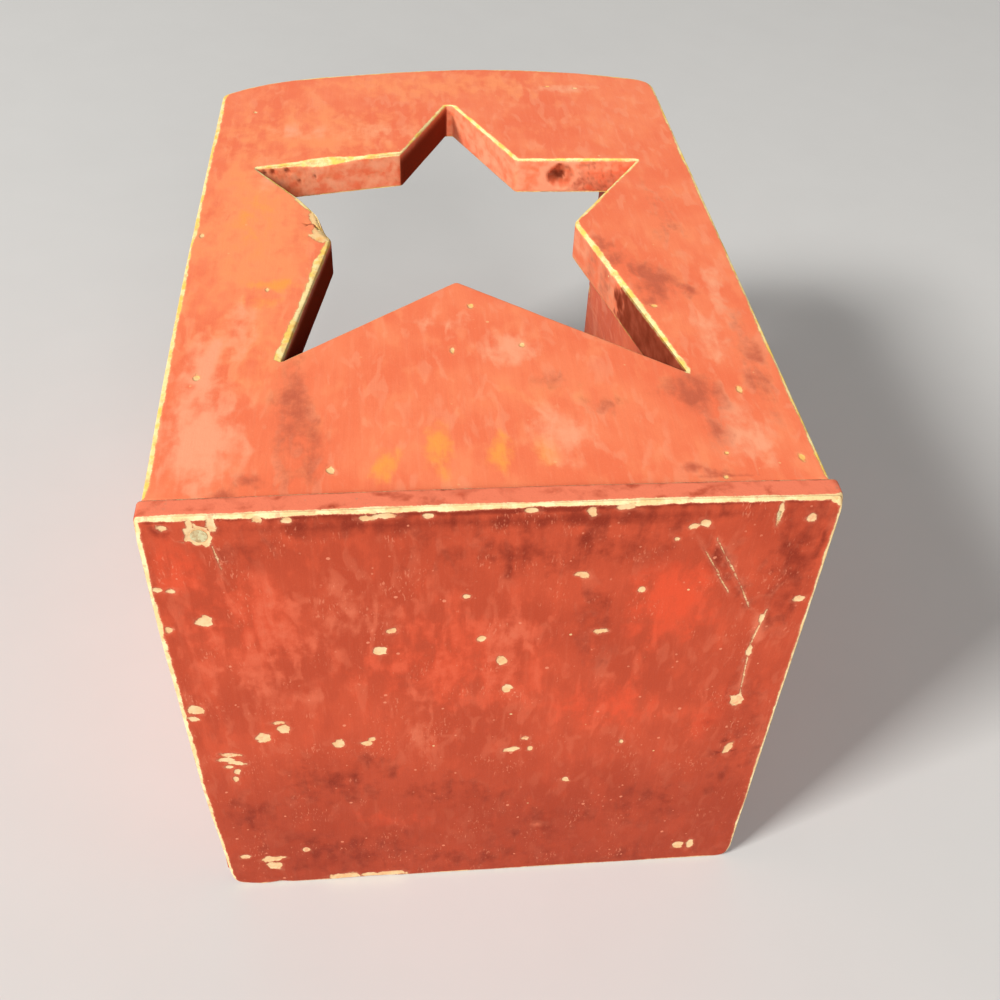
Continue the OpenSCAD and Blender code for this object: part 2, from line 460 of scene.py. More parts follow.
    def relief(self, fields):
        """How far each point sinks into the wood, in millimetres."""
        points = self.positions()
        waves = 0.06 * (1 + ripple(points, 45, 11)) + 0.025 * ripple(points, 6, 12)
        chipped = CHIP_RECESS * smooth_step(fields["chip"], -0.15, 0.3)
        worn = RUBBED_RECESS * smooth_step(fields["edge"], -0.2, 0.5)
        return waves + chipped + worn

    def build(self, material, carve=None):
        """Makes the board's mesh and sets it in the frame in place of its CAD node."""
        fields = self.wear_fields()
        sink = self.relief(fields)
        if carve:
            sink = carve(self, fields, sink)
        uv, depth = self.round_arrises()
        uv += np.where(self.on_wall, sink, 0)[:, None] * self.away
        depth += np.where(self.on_wall, 0, np.where(self.on_outer, sink, -sink))
        mesh = bpy.data.meshes.new("worn_" + self.node)
        mesh.from_pydata((self.positions(uv, depth) * MM).tolist(), [], self.polygons)
        for name, values in fields.items():
            layer = mesh.attributes.new(name, "FLOAT", "POINT")
            layer.data.foreach_set("value", values.astype(np.float32))
        work = bmesh.new()
        work.from_mesh(mesh)
        bmesh.ops.recalc_face_normals(work, faces=work.faces)
        work.to_mesh(mesh)
        work.free()
        mesh.polygons.foreach_set("use_smooth", [True] * len(mesh.polygons))
        mesh.materials.append(material)
        piece = add_object("worn_" + self.node, mesh)
        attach(piece, "root")
        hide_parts(self.node)


# ---- materials

def colour(red, green, blue):
    """A screen colour, each part from 0 to 255, as the linear colour that shaders take."""
    shares = [c / 255 for c in (red, green, blue)]
    linear = [c / 12.92 if c <= 0.04045 else ((c + 0.055) / 1.055) ** 2.4 for c in shares]
    return (*linear, 1.0)


class Graph:
    """The node tree of one material, written with short calls."""

    def __init__(self, name):
        self.material = bpy.data.materials.new(name)
        self.material.use_nodes = True
        self.tree = self.material.node_tree
        where = self.tree.nodes.new("ShaderNodeTexCoord").outputs["Object"]
        scaled = self.node("VectorMath", {0: where}, operation="SCALE")
        scaled.inputs["Scale"].default_value = 1 / MM
        self.where = scaled.outputs[0]

    def node(self, kind, inputs, **settings):
        """A new node with these settings and inputs, each a value or another node's output."""
        made = self.tree.nodes.new("ShaderNode" + kind)
        for name, value in settings.items():
            setattr(made, name, value)
        for key, value in inputs.items():
            self.feed(made.inputs[key], value)
        return made

    def set(self, name, value):
        """Feeds the material's own shader."""
        self.feed(self.tree.nodes["Principled BSDF"].inputs[name], value)

    def feed(self, socket, value):
        """Links an output to a socket, or sets the socket's own value."""
        if isinstance(value, bpy.types.NodeSocket):
            self.tree.links.new(value, socket)
        else:
            socket.default_value = value

    def math(self, operation, a, b):
        """One Math node. The four functions below are the usual ones."""
        return self.node("Math", {0: a, 1: b}, operation=operation).outputs[0]

    def times(self, a, b):
        return self.math("MULTIPLY", a, b)

    def plus(self, a, b):
        return self.math("ADD", a, b)

    def minus(self, a, b):
        return self.math("SUBTRACT", a, b)

    def most(self, a, b):
        return self.math("MAXIMUM", a, b)

    def mix(self, share, a, b):
        """Colour a with a share of colour b over it."""
        return self.node("Mix", {0: share, 6: a, 7: b}, data_type="RGBA").outputs[2]

    def step(self, value, low, high, bottom=0.0, top=1.0):
        """A smooth rise from bottom to top while value goes from low to high."""
        inputs = {"Value": value, "From Min": low, "From Max": high,
                  "To Min": bottom, "To Max": top}
        return self.node("MapRange", inputs, interpolation_type="SMOOTHSTEP").outputs[0]

    def noise(self, size, seed=0.0, detail=4.0, roughness=0.55, distortion=0.0):
        """Noise from 0 to 1 with features of size mm, one number or one for each axis."""
        stretched = hasattr(size, "__len__")
        scale = [1 / s for s in size] if stretched else [1 / size] * 3
        turn = (0.03, 0.02, 0.03) if stretched else (0.6, 0.4, 0.9)
        moved = self.node("Mapping", {"Vector": self.where, "Scale": scale, "Rotation": turn,
                                      "Location": (seed * 3.7, seed * 1.3, seed * 7.1)})
        inputs = {"Vector": moved.outputs[0], "Scale": 1.0, "Detail": detail,
                  "Roughness": roughness, "Distortion": distortion}
        return self.node("TexNoise", inputs).outputs[0]

    def flecks(self, pitch, size, share, seed):
        """Scattered round flecks: 1 inside one. share is how many of the cells hold one."""
        moved = self.node("Mapping", {"Vector": self.where, "Scale": [1 / pitch] * 3,
                                      "Location": (seed * 2.9, seed * 4.3, seed * 1.7)})
        cells = self.node("TexVoronoi", {"Vector": moved.outputs[0], "Scale": 1.0})
        chance = self.node("SeparateColor", {0: cells.outputs["Color"]}).outputs[0]
        reach = self.step(chance, 1 - share, 1.0, 0.0, size / pitch)
        wobble = self.times(self.noise(size, seed + 2, 2.0), 0.7 * size / pitch)
        inside = self.minus(reach, self.plus(cells.outputs["Distance"], wobble))
        return self.step(inside, -0.25 * size / pitch, 0.0)

    def field(self, name):
        """One of the board's wear fields."""
        return self.node("Attribute", {}, attribute_name=name).outputs["Fac"]


# A Finish's haze also serves as painted light on the star's walls, and its stain as painted shade
# there and on the bottom board's lower part.
Finish = namedtuple(
    "Finish", "paint bright deep haze stain glow faded rim undercoat grain flecks bare")
Finish.__doc__ = """A board's paint: its main colour, what it shifts to in bright and in deep
places, its pale bloom, its brown stains, its warm patches, its sun-faded colour, and the
colour that it thins to beside bare spots; the two colours of its undercoat; the board's
grain, as the size of a streak along X, Y and Z in mm; the share that is flecked; and how
bare its chips are."""

GRIME = colour(206, 160, 92)
BARE_WOOD = colour(236, 190, 122)
OLD_WOOD = colour(198, 138, 80)
# dark bare wood, also used as painted shade on the star's walls
DARK_WOOD_AND_SHADE = colour(94, 25, 9)


def paint_colour(g, finish):
    """The red paint: blotched and brushed along the grain, bloomed, stained and marked."""
    grain = finish.grain
    broad = g.noise(50, 1, 3.0, 0.5)
    blotches = g.noise([6.5 * s ** 0.3 for s in grain], 2, 3.5, 0.5)
    wiped = g.noise([4.4 * s ** 0.36 for s in grain], 16, 2.6, 0.45, 0.7)
    brushed = g.noise(grain, 3, 4.0, 0.55)
    strokes = g.noise([0.75 + 0.06 * s for s in grain], 14, 2.0, 0.5)
    grit = g.noise(0.8, 4, 3.0, 0.7)
    paint = g.mix(g.step(broad, 0.38, 0.62), finish.deep, finish.paint)
    paint = g.mix(g.step(blotches, 0.5, 0.7, 0.0, 0.6), paint, finish.bright)
    paint = g.mix(g.step(blotches, 0.5, 0.3, 0.0, 0.6), paint, finish.deep)
    paint = g.mix(g.step(wiped, 0.52, 0.66, 0.0, 0.32), paint, finish.haze)
    paint = g.mix(g.step(brushed, 0.5, 0.8, 0.0, 0.16), paint, finish.haze)
    paint = g.mix(g.step(brushed, 0.48, 0.25, 0.0, 0.2), paint, finish.deep)
    # painted shade: the bottom board's face grows darker towards its foot
    paint = g.mix(g.times(g.field("grimy"), 0.4), paint, finish.stain)
    ragged = g.plus(g.plus(blotches, wiped), g.noise(7.0, 18, 4.0, 0.6))
    ragged = g.times(g.minus(ragged, 1.5), 1.1)
    # pale and dark hold real stains, and on the star's walls also painted light and painted shade
    for name, tone in zip(STAINS, (finish.faded, finish.glow, finish.haze, finish.stain)):
        field = g.field(name)
        share = g.step(g.plus(field, ragged), 0.1, 0.95)
        share = g.times(share, g.step(field, 0.0, 0.3))
        paint = g.mix(share, paint, tone)
    dashes = g.times(g.step(strokes, 0.58, 0.7), g.step(g.noise(15, 15, 5.0), 0.5, 0.64))
    paint = g.mix(g.times(dashes, finish.flecks), paint, finish.rim)
    paint = g.mix(g.step(grit, 0.52, 0.78, 0.0, 0.25), paint, finish.deep)
    return g.mix(g.step(grit, 0.46, 0.25, 0.0, 0.2), paint, finish.haze)


def painted_wood(name, finish):
    """Old paint over an undercoat over wood, worn through where the board's fields say."""
    g = Graph(name)
    fine, small = g.noise(0.7, 5, 4.0, 0.7), g.noise(2.4, 6, 4.0, 0.6)
    ragged = g.plus(g.times(fine, 1.1), g.times(small, 0.9))
    ragged = g.minus(ragged, 1.0)
    edge = g.plus(g.field("edge"), ragged)
    chip = g.plus(g.field("chip"), g.times(ragged, 0.95))
    worn = g.most(g.step(edge, -0.2, 0.2), g.step(chip, -0.25, 0.3, 0.0, finish.bare))
    rim = g.most(g.step(edge, -0.8, 0.1), g.step(chip, -1.4, -0.3, 0.0, 0.3))
    clusters = g.step(g.noise(14, 20, 4.0), 0.46, 0.6, 0.1, 0.7)
    flecks = g.most(g.flecks(6.0, 1.0, finish.flecks, 9),
                    g.times(g.flecks(3.2, 0.7, finish.flecks, 19), clusters))
    paint = g.mix(g.times(flecks, 0.8), paint_colour(g, finish), finish.rim)
    faint = g.times(g.flecks(11.0, 0.8, 0.5 * finish.flecks, 29), 0.7)
    paint = g.mix(g.times(rim, 0.6), paint, finish.rim)
    # a dark ring round each chip: partly grime at the broken paint edge, partly painted shade of
    # that edge
    paint = g.mix(g.step(chip, -0.5, -0.1, 0.0, 0.4), paint, finish.stain)
    undercoat = g.mix(g.step(g.noise(7, 7), 0.4, 0.62), *finish.undercoat)
    undercoat = g.mix(g.step(g.noise(1.8, 8, 4.0, 0.7), 0.54, 0.74, 0.0, 0.3), undercoat, GRIME)
    undercoat = g.mix(g.step(g.noise(3.4, 17, 4.0, 0.6), 0.54, 0.7, 0.0, 0.5),
                      undercoat, finish.rim)
    grain = g.noise([s * 0.3 for s in finish.grain], 10, 4.0, 0.6)
    wood = g.mix(g.step(grain, 0.35, 0.7), OLD_WOOD, BARE_WOOD)
    deep_wear = g.times(g.step(edge, 1.1, 2.2), g.step(small, 0.44, 0.62, 0.0, 0.45))
    under = g.mix(deep_wear, undercoat, wood)
    under = g.mix(g.step(chip, -0.3, 0.2, 0.0, 0.25), under, finish.rim)
    base = g.mix(worn, g.mix(faint, paint, finish.undercoat[0]), under)
    # dark bare wood in the knot, pits, crack and torn grain, and painted shade on the star's walls
    base = g.mix(g.field("rough"), base, DARK_WOOD_AND_SHADE)
    shown = g.most(worn, faint)
    dull = g.plus(g.step(g.noise(9, 11), 0.3, 0.7, 0.52, 0.62), g.times(shown, 0.25))
    g.set("Base Color", base)
    g.set("Roughness", dull)
    g.set("Specular IOR Level", g.step(g.field("rough"), 0.0, 0.7, 0.17, 0.0))
    height = g.times(g.noise(finish.grain, 12, 5.0, 0.65), 0.14)
    height = g.plus(height, g.times(g.noise(3.2, 13, 4.0, 0.6), 0.1))
    height = g.plus(height, g.times(fine, 0.05))
    height = g.minus(height, g.times(shown, 0.14))
    bump = g.node("Bump", {"Height": height, "Strength": 0.8, "Distance": MM})
    g.set("Normal", bump.outputs[0])
    return g.material


def old_iron(name):
    """Dull nail heads, part rust and part grey."""
    g = Graph(name)
    rust = g.step(g.noise(2.2, 1, 5.0, 0.65), 0.4, 0.62)
    base = g.mix(rust, colour(204, 196, 152), colour(176, 140, 96))
    base = g.mix(g.step(g.noise(0.8, 2, 3.0), 0.5, 0.75, 0.0, 0.6), base, colour(222, 208, 160))
    g.set("Base Color", base)
    g.set("Roughness", g.step(rust, 0.0, 1.0, 0.5, 0.85))
    g.set("Metallic", 0.2)
    bump = g.node("Bump", {"Height": g.noise(0.9, 3, 5.0, 0.7), "Strength": 0.7,
                           "Distance": 0.2 * MM})
    g.set("Normal", bump.outputs[0])
    return g.material


def studio_floor():
    """A plain pale floor under the box."""
    mesh = bpy.data.meshes.new("floor")
    half, level = FLOOR_SIZE / 2 * MM, -FLOOR_DROP * MM
    corners = [(x * half, y * half, level) for x, y in ((-1, -1), (1, -1), (1, 1), (-1, 1))]
    mesh.from_pydata(corners, [], [(0, 1, 2, 3)])
    g = Graph("pale_floor")
    tone = g.mix(g.noise(60, 1, 3.0), colour(208, 206, 202), colour(212, 210, 206))
    g.set("Base Color", tone)
    g.set("Roughness", 0.9)
    g.set("Specular IOR Level", 0.1)
    mesh.materials.append(g.material)
    add_object("floor", mesh)


# ---- the boards

def node_box(node):
    """A CAD node's lowest and highest corners, in millimetres."""
    low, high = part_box(node)
    return np.array(low) / MM, np.array(high) / MM


def lines_to_marks(lines):
    """Thin marks along scratches, each given as (u, v, u, v, half width)."""
    return [Mark((u1 + u2) / 2, (v1 + v2) / 2, math.hypot(u2 - u1, v2 - v1) / 2, half,
                 tilt=math.degrees(math.atan2(v2 - v1, u2 - u1)))
            for u1, v1, u2, v2, half in lines]


def grown(chip):
    """The chip with the soft rim that surrounds its measured bare middle."""
    return chip._replace(half_u=chip.half_u * 1.12 + 0.15, half_v=chip.half_v * 1.12 + 0.15)


BARN_RED = Finish(
    paint=colour(184, 72, 43), bright=colour(198, 78, 47), deep=colour(171, 64, 37),
    haze=colour(203, 101, 71), stain=colour(130, 40, 19), glow=colour(208, 74, 42),
    faded=colour(240, 126, 92), rim=colour(216, 128, 96),
    undercoat=(colour(232, 200, 142), colour(244, 222, 168)), grain=(2.2, 2.2, 30), flecks=0.5,
    bare=0.9)

BOTTOM_CHIPS = marks((           # x, z, half width, half height, strength, tilt
    # the bare patch round the top left nail, and the strip from it up to the arris
    (-105, 240.6, 4.4, 3.9), (-100, 246.5, 1.3, 4), (-107.5, 246, 0.8, 3),
    # hanging down under the top arris
    (-117, 245, 1.4, 0.9), (-84, 248, 1.4, 1.4), (-74, 247, 1.4, 1), (-46, 246.6, 2, 0.9),
    (-40, 247.6, 4, 1), (-25, 247, 1.4, 1), (12, 248, 2, 1), (34, 246.5, 1.2, 2),
    (46, 248, 3, 1.1), (72.4, 237.4, 1.5, 1.1, 1, 10), (76.8, 238.6, 1.3, 1.8, 1, 35),
    (67, 231, 0.8, 0.7), (103.8, 243, 0.8, 4.6), (116, 239.5, 1.3, 1.6),
    # down the left margin
    (-109.2, 196, 2.8, 2.4), (-123, 192, 1.1, 1.4), (-119, 213, 1.5, 0.8), (-123.5, 214, 1.4, 0.8),
    (-120, 142, 2.8, 2.4, 1, -25), (-121.5, 136, 1.6, 1.3), (-110.5, 109.6, 3.2, 1.1, 1, -8),
    (-112, 106.2, 3.3, 1.1, 1, -10), (-108, 103.4, 3.2, 1.2, 1, -15), (-111.6, 100.8, 1.5, 0.8),
    (-108.6, 97, 1.2, 1.4), (-110, 91.5, 1, 1.8),
    # left of the middle
    (-95, 121, 2.6, 2.7), (-86, 126, 2.2, 2.4), (-88, 130.6, 2, 0.7), (-63.5, 113.6, 2.2, 2.1),
    (-51.6, 112.6, 1.7, 1.4), (-49.4, 115.8, 1.2, 1.1), (-84, 29.5, 1.5, 1.5),
    # scattered over the middle
    (-44.5, 174.5, 2.1, 2.2, 1, 20), (-39, 186, 1.9, 1.1, 1, 15), (-10.6, 204, 1.2, 1),
    (-4, 179, 1.5, 1.5), (4.2, 165, 1.7, 2.3, 1, 20), (7.2, 146.4, 1.8, 1.9),
    (33.4, 213.5, 2.5, 1.2, 1, -15), (43.4, 180.6, 2.4, 1), (57.2, 204.4, 1.2, 1.2),
    (11, 103, 3, 1.3, 1, 12), (17, 111, 1.3, 0.8), (19.4, 103, 0.9, 1.2), (37, 77.5, 1.3, 1.5),
    (60, 104.7, 0.6, 1.2),
    # down the right margin
    (108.2, 184, 0.9, 1.8), (107, 164, 0.8, 3), (107.6, 131, 2.5, 3.2),
    (110.2, 95.4, 1.4, 3.4, 1, -10), (121, 195, 2, 1.3, 1, 20),
    # along the foot
    (-113.7, 26, 1.9, 1.4), (-101, 22.6, 4.4, 2, 1, 5), (-100, 16.4, 3.4, 2.4, 1, -35),
    (-67, 2.6, 7, 2), (-55, 2.4, 4, 1.7), (-45, 2.6, 6.5, 1.9), (98.7, 13, 2.3, 2.5),
    (104.8, 13.6, 1.4, 3.4),
)) + lines_to_marks((
    (109, 187, 106.6, 167, 0.14), (107, 161, 108.2, 139, 0.1), (-101, 236, -99.6, 226, 0.1),
    (83, 229, 87, 221, 0.1), (90, 216, 94, 208, 0.09), (97, 202, 101, 193, 0.12),
    (80, 222, 84, 215, 0.08), (87, 209, 91, 202, 0.08),
))

BOTTOM_STAINS = {
    "dark": marks((
        (0, 248.6, 140, 1.5, 1.3), (0, 243, 135, 5, 0.75), (90, 211, 27, 5, 0.6, -58),
        (-66, 88, 30, 24, 0.5), (-18, 72, 34, 20, 0.42), (32, 40, 40, 18, 0.42),
        (-106, 60, 14, 20, 0.6), (114, 216, 10, 34, 0.75), (76, 56, 24, 28, 0.4),
        (20, 226, 62, 12, 0.6), (-88, 232, 20, 10, 0.45), (33, 238, 2.2, 5, 1.0),
        (-66, 26, 44, 26, 0.5), (104, 150, 8, 12, 0.45), (0, 6, 150, 26, 0.35),
        (40, 180, 16, 34, 0.4), (110, 100, 16, 60, 0.4), (110, 93, 16, 0.6, 1.0, 8),
        (113, 102, 13, 0.5, 0.9, 9))),
    "glow": marks((
        (69, 196, 19, 26, 0.85), (-114, 226, 12, 18, 0.5), (-8, 165, 46, 34, 0.55),
        (-92, 188, 26, 36, 0.6), (50, 134, 26, 20, 0.6), (-48, 52, 40, 14, 0.3),
        (98, 120, 14, 26, 0.4))),
    "pale": marks((
        (92, 214, 24, 3, 0.55, -58), (95, 213, 22, 1.1, 1.2, -60), (88, 214, 19, 0.8, 1.1, -58),
        (108, 178, 2.2, 11, 1.1, 8), (107.6, 150, 1.4, 13, 1.0, -3), (-88, 175, 30, 50, 0.4),
        (6, 170, 14, 30, 0.45), (46, 150, 8, 40, 0.35), (-30, 130, 9, 40, 0.35),
        (-60, 196, 30, 26, 0.4), (24, 40, 8, 0.8, 1.1, 8), (0, 168, 60, 40, 0.25))),
}

SALMON = Finish(
    paint=colour(247, 131, 88), bright=colour(251, 144, 97), deep=colour(241, 117, 77),
    haze=colour(250, 162, 122), stain=colour(198, 96, 66), glow=colour(250, 156, 74),
    faded=colour(252, 148, 95), rim=colour(248, 174, 118),
    undercoat=(colour(254, 232, 164), colour(252, 210, 102)), grain=(2.4, 34, 2.4), flecks=0.08,
    bare=0.8)
SIDE_SALMON = SALMON._replace(
    paint=colour(236, 112, 70), bright=colour(242, 120, 76), deep=colour(222, 98, 60),
    grain=(2.6, 48, 2.6))

FRONT_CHIPS = marks((            # x, y, half width, half length, strength, tilt
    (-59, -171, 1.3, 1.7), (116.6, -171, 1.2, 1.7), (103, -128.5, 1.3, 1.8),
    (-113, -113, 1.3, 1.9), (-1, -65, 1.3, 1.6), (-10.8, -97.6, 0.8, 2), (-122.4, -1.7, 1, 1.9),
    (80, -67, 1.5, 1), (88.6, -167.4, 0.8, 0.8), (18.5, -94.4, 1.1, 1.4), (85, -181, 0.8, 0.8),
    (-89.3, -49.3, 0.7, 1.5), (60, 168, 1.6, 0.7), (76, 165.5, 1.4, 0.7), (-107, 133, 1, 1.2),
    # the broken patches beside the star's left notch
    (-69.5, 12.5, 3.6, 7.5, 1, 20), (-67.5, -2, 4.2, 6.5, 1, 10)))

NOTCH_CRACK = lines_to_marks(((-74.3, 8, -71, 8.6, 0.45), (-71, 8.4, -68, 4, 0.5),
                              (-68.4, 4.2, -63.5, 5, 0.5)))

FRONT_STAINS = {
    "dark": marks((
        (-74, -138, 8, 40, 0.65), (-66, -160, 7, 18, 0.6), (64, -14, 5, 9, 0.8, -14),
        (69, -28, 6, 9, 0.85, -14), (78, -37, 8, 8, 0.8), (84, -50, 9, 12, 1.0, -10),
        (80, -63, 5, 6, 0.7), (98, -56, 3, 6, 0.7), (84, -130, 10, 14, 0.95, 20),
        (72, -128, 7, 4, 0.7), (88, -152, 6, 14, 0.7), (113, -110, 7, 44, 0.4),
        (47, -136, 9, 8, 0.5), (30, -120, 16, 10, 0.3), (100, 20, 10, 40, 0.3),
        (-96, -183, 4, 6, 0.9, -40), (-86, -176, 8, 3, 0.8, -30), (76, -176, 12, 1.6, 0.9, -25),
        (88, -180, 14, 1.4, 0.8))),
    "pale": marks((
        (-107, -152, 15, 28, 1.0), (-111, -112, 8, 28, 0.85), (-99, -80, 7, 24, 0.7),
        (13, -99, 11, 11, 0.8), (28, -152, 13, 18, 0.7), (98, -156, 13, 20, 0.8),
        (-80, 109, 20, 9, 0.6), (67, 165, 20, 5, 0.7), (-12, -76, 18, 10, 0.4),
        (-40, 108, 26, 14, 0.4), (-95, 60, 9, 22, 0.5), (110, -60, 5, 40, 0.5),
        (100, -90, 8, 20, 0.6), (68, -60, 3, 16, 0.8, -14))),
    "glow": marks((
        (-39, -169, 4, 9, 0.95, -15), (-20, -160, 5, 15, 1.0), (3, -164, 5, 11, 0.95),
        (21, -162, 5, 9, 0.7), (-88, -46, 10, 5, 0.9), (-92, -58, 8, 5, 0.8),
        (-100, 20, 14, 50, 0.3))),
    "faded": marks((
        (-98, 10, 30, 90, 1.0), (-96, -84, 24, 40, 0.7), (-76, 106, 56, 36, 0.75),
        (-6, 168, 90, 20, 0.6), (30, -130, 40, 12, 0.4))),
}

BARED_NAIL = (-105, 240.5)   # x, z of the nail head that shows in the top left corner
BARED_NAIL_RADIUS = 3.9
BARED_NAIL_RECESS = 0.4
LOW_SHADE_BELOW = 125            # painted shade darkens the paint below this height
LOW_SHADE_RISE = 80              # and is darkest this much lower
JOINT_Y = -183.8             # where the bottom board meets the front board


def make_bottom_board():
    """The thin board nearest the camera, nailed over the ends of the other four."""
    low, high = node_box("bottom_board")
    crown = 1.1              # the top edge swells by this at its middle
    top = high[2] - crown
    outline = [Corner(low[0] + 5.6, low[2], 7, 0.9), Corner(high[0], low[2], 5.5, 1.1),
               Corner(high[0], top, 3, 1.9, crown), Corner(low[0] + 0.6, top, 3, 2.0),
               Corner(low[0] + 0.1, 190, 12, 1.6), Corner(low[0] + 1.7, 80, 12, 1.5)]
    bites = [Mark(high[0], top, 6, 6, 4.0), Mark(low[0], top, 4, 9, 2.8),
             Mark(-118, 3, 8, 9, 2.8), Mark(high[0], 2, 8, 7, 2.4),
             Mark(-100, 2, 6, 4, 3), Mark(-55, 0, 18, 3, 1.8)]
    board = Board("bottom_board", "bottom_board_paint", (0, 2, 1), [outline], low[1], high[1],
                  arris=0.7, inner_arris=0.35, grid=4.5, wall_pitch=1.8,
                  chips=[grown(chip) for chip in BOTTOM_CHIPS], bites=bites,
                  stains=BOTTOM_STAINS)
    board.build(painted_wood("barn_red_paint", BARN_RED), carve_bottom)


def carve_bottom(board, fields, sink):
    """Bares the nail head in the top left corner, fades the paint on the top edge, and
    darkens the lower part."""
    from_nail = np.linalg.norm(board.uv - BARED_NAIL, axis=1)
    recess = BARED_NAIL_RECESS * smooth_step(BARED_NAIL_RADIUS - from_nail, 0, 0.9)
    top_edge = board.on_wall & (board.rim_normal[board.sample, 1] < -0.7)
    points = board.positions()
    smudge = ripple(points, (9, 4, 4), 31)
    joint = np.exp(-((points[:, 1] - JOINT_Y) / 0.9) ** 2) * (1 + 1.5 * smudge)
    fields["faded"] = np.where(top_edge, 0.95 + 0.6 * smudge, 0)
    # painted shade: the face grows darker towards its foot
    fields["grimy"] = smooth_step(LOW_SHADE_BELOW - board.uv[:, 1], 0, LOW_SHADE_RISE)
    fields["glow"] = np.where(top_edge, 0, fields["glow"])
    fields["pale"] = np.where(top_edge, 0, fields["pale"])
    fields["dark"] = np.where(top_edge, np.maximum(0.5 * joint - 0.3 * smudge, 0), fields["dark"])
    return np.where(board.on_outer, sink + recess, sink)


ARCH_RADIUS = 310
ARCH_MIDDLE = 24             # x of the arch's highest point, right of the middle
ARCH_STEP = 14               # length of the straight pieces that the arch is drawn with
SHOULDER_LIFT = 5.6          # how far the left shoulder stands above the arc
SHOULDER_X = -100
SHOULDER_REACH = 40


def arch_corners(left, right, crown_y, wear, left_cut, right_cut):
    """The arched end of the front board, from its right shoulder to its left one."""
    middle_y = crown_y - ARCH_RADIUS
    start, end = (math.acos((x - ARCH_MIDDLE) / ARCH_RADIUS) for x in (right, left))
    count = round(ARCH_RADIUS * (end - start) / ARCH_STEP)
    angles = [start + (end - start) * k / count for k in range(count + 1)]
    corners = []
    for angle in angles:
        x = ARCH_MIDDLE + ARCH_RADIUS * math.cos(angle)
        lift = SHOULDER_LIFT * math.exp(-((x - SHOULDER_X) / SHOULDER_REACH) ** 2)
        y = middle_y + ARCH_RADIUS * math.sin(angle) + lift
        corners.append(Corner(x, y, 0, wear))
    corners[0] = corners[0]._replace(cut=right_cut)
    corners[-1] = corners[-1]._replace(cut=left_cut)
    return corners


STAR_CORNERS = (             # the hand-cut star, clockwise from its top tip: x, y, cut, wear
    (-1.2, 141.75, 0.6, 0.8), (2.8, 141.75, 0.6, 1.7), (32.6, 74.0, 2.0, 1.4),
    (97.0, 73.2, 0.8, 1.4), (54.3, 7.5, 3.0, 2.0), (84.2, -115.75, 0.8, 0.35),
    (-6.1, -44.6, 2.0, 0.35), (-80.4, -102.9, 0.8, 3.0), (-62.2, -5.1, 3.0, 2.2),
    (-69.2, 15.8, 3.0, 1.8), (-79.6, 34.3, 2.5, 1.1), (-102.5, 66.0, 0.8, 1.9),
    (-27.7, 82.0, 2.0, 1.2))

FRONT_BITES = marks((        # where arrises are worn rounder: x, y, half sizes, radius
    (-66, 3, 7, 14, 5.0), (-74, -76, 6, 24, 1.6), (-69, -36, 6, 26, 1.3), (65, -38, 5, 5, 3.4),
    (78, -85, 8, 24, 2.5), (68, -45, 8, 26, 2.6), (58, -5, 8, 14, 2.0), (-67, 74, 24, 8, 4.2),
    (-14, 112, 9, 24, 2.0), (14, 112, 8, 14, 2.2), (60, 74, 34, 5, 1.9), (118, 172, 12, 9, 1.8),
    (-122, 162, 10, 9, 1.8)))


def make_front_board():
    """The arched board with the star, which is the upper face in the photograph."""
    low, high = node_box("front_board")
    left = low[0] - 1.4      # the board is widest along the upper part of its left edge
    outline = [Corner(low[0] + 1.1, low[1], 0.4, -1), Corner(high[0], low[1], 0.4, 1.3)]
    outline += arch_corners(left, high[0], high[1], 1.3, 6.5, 9.3)
    outline[-1] = outline[-1]._replace(wear=1.6)
    outline += [Corner(left, -35, 30, 1.6), Corner(left + 0.9, -110, 20, 1.5)]
    star = [Corner(*row) for row in STAR_CORNERS]
    board = Board("front_board", "front_board_paint", (0, 1, 2), [outline, star],
                  high[2], low[2], step=1.0, grid=4.5, wall_pitch=1.5, arris=0.8,
                  inner_arris=0.6, inner_wear=0.6, chips=FRONT_CHIPS, bites=FRONT_BITES,
                  stains=FRONT_STAINS)
    board.build(painted_wood("salmon_paint", SALMON), carve_front)


KNOT = Mark(57, 239.8, 7.0, 6.6)   # x, z and half sizes, on the wall of the right arm
KNOT_DEPTH = 1.3
KNOT_CORE_DEPTH = 1.6
TIP_PITS = ((-102.5, 247.5, 1.5), (-98.3, 246.6, 1.3), (-94.1, 247, 1.2), (-87, 246.6, 1.5),
            (-81, 240, 1.1), (-73, 241.5, 1.0))      # x, z, radius, on the left arm's wall
PIT_DEPTH = 0.8
CRACK_DEPTH = 0.8
TORN_X = 74                  # the end grain is torn most here, right of the knot
TORN_REACH = 13
LEG_SHADOW_FROM_Y = -40                # a painted shadow darkens the right leg's wall from here to the leg's tip


def knot_fields(points, facing):
    """How much of the knot's hole, its dark core and the ring round it each point has."""
    right, up = local_uv(points[:, [0, 2]], KNOT)
    knot = np.hypot(right, up) * (1 + 0.3 * ripple(points, 4, 22))
    socket = np.hypot(right + 0.3, up - 0.1) * (1 + 0.5 * ripple(points, 2.4, 25))
    hole = np.where(facing, smooth_step(1 - knot, 0, 0.2), 0)
    core = np.where(facing, smooth_step(0.75 - socket, 0, 0.3), 0)
    ring = np.where(facing, np.exp(-((knot - 1.4) / 0.28) ** 2), 0)
    return hole, core, ring


def pit_field(points, facing):
    """1 in the small pits near the star's left tip, 0 away from them."""
    field = np.zeros(len(points))
    for x, z, radius in TIP_PITS:
        inside = radius - np.hypot(points[:, 0] - x, points[:, 2] - z)
        field = np.maximum(field, smooth_step(inside, -0.3, 0.5))
    return np.where(facing, field, 0)


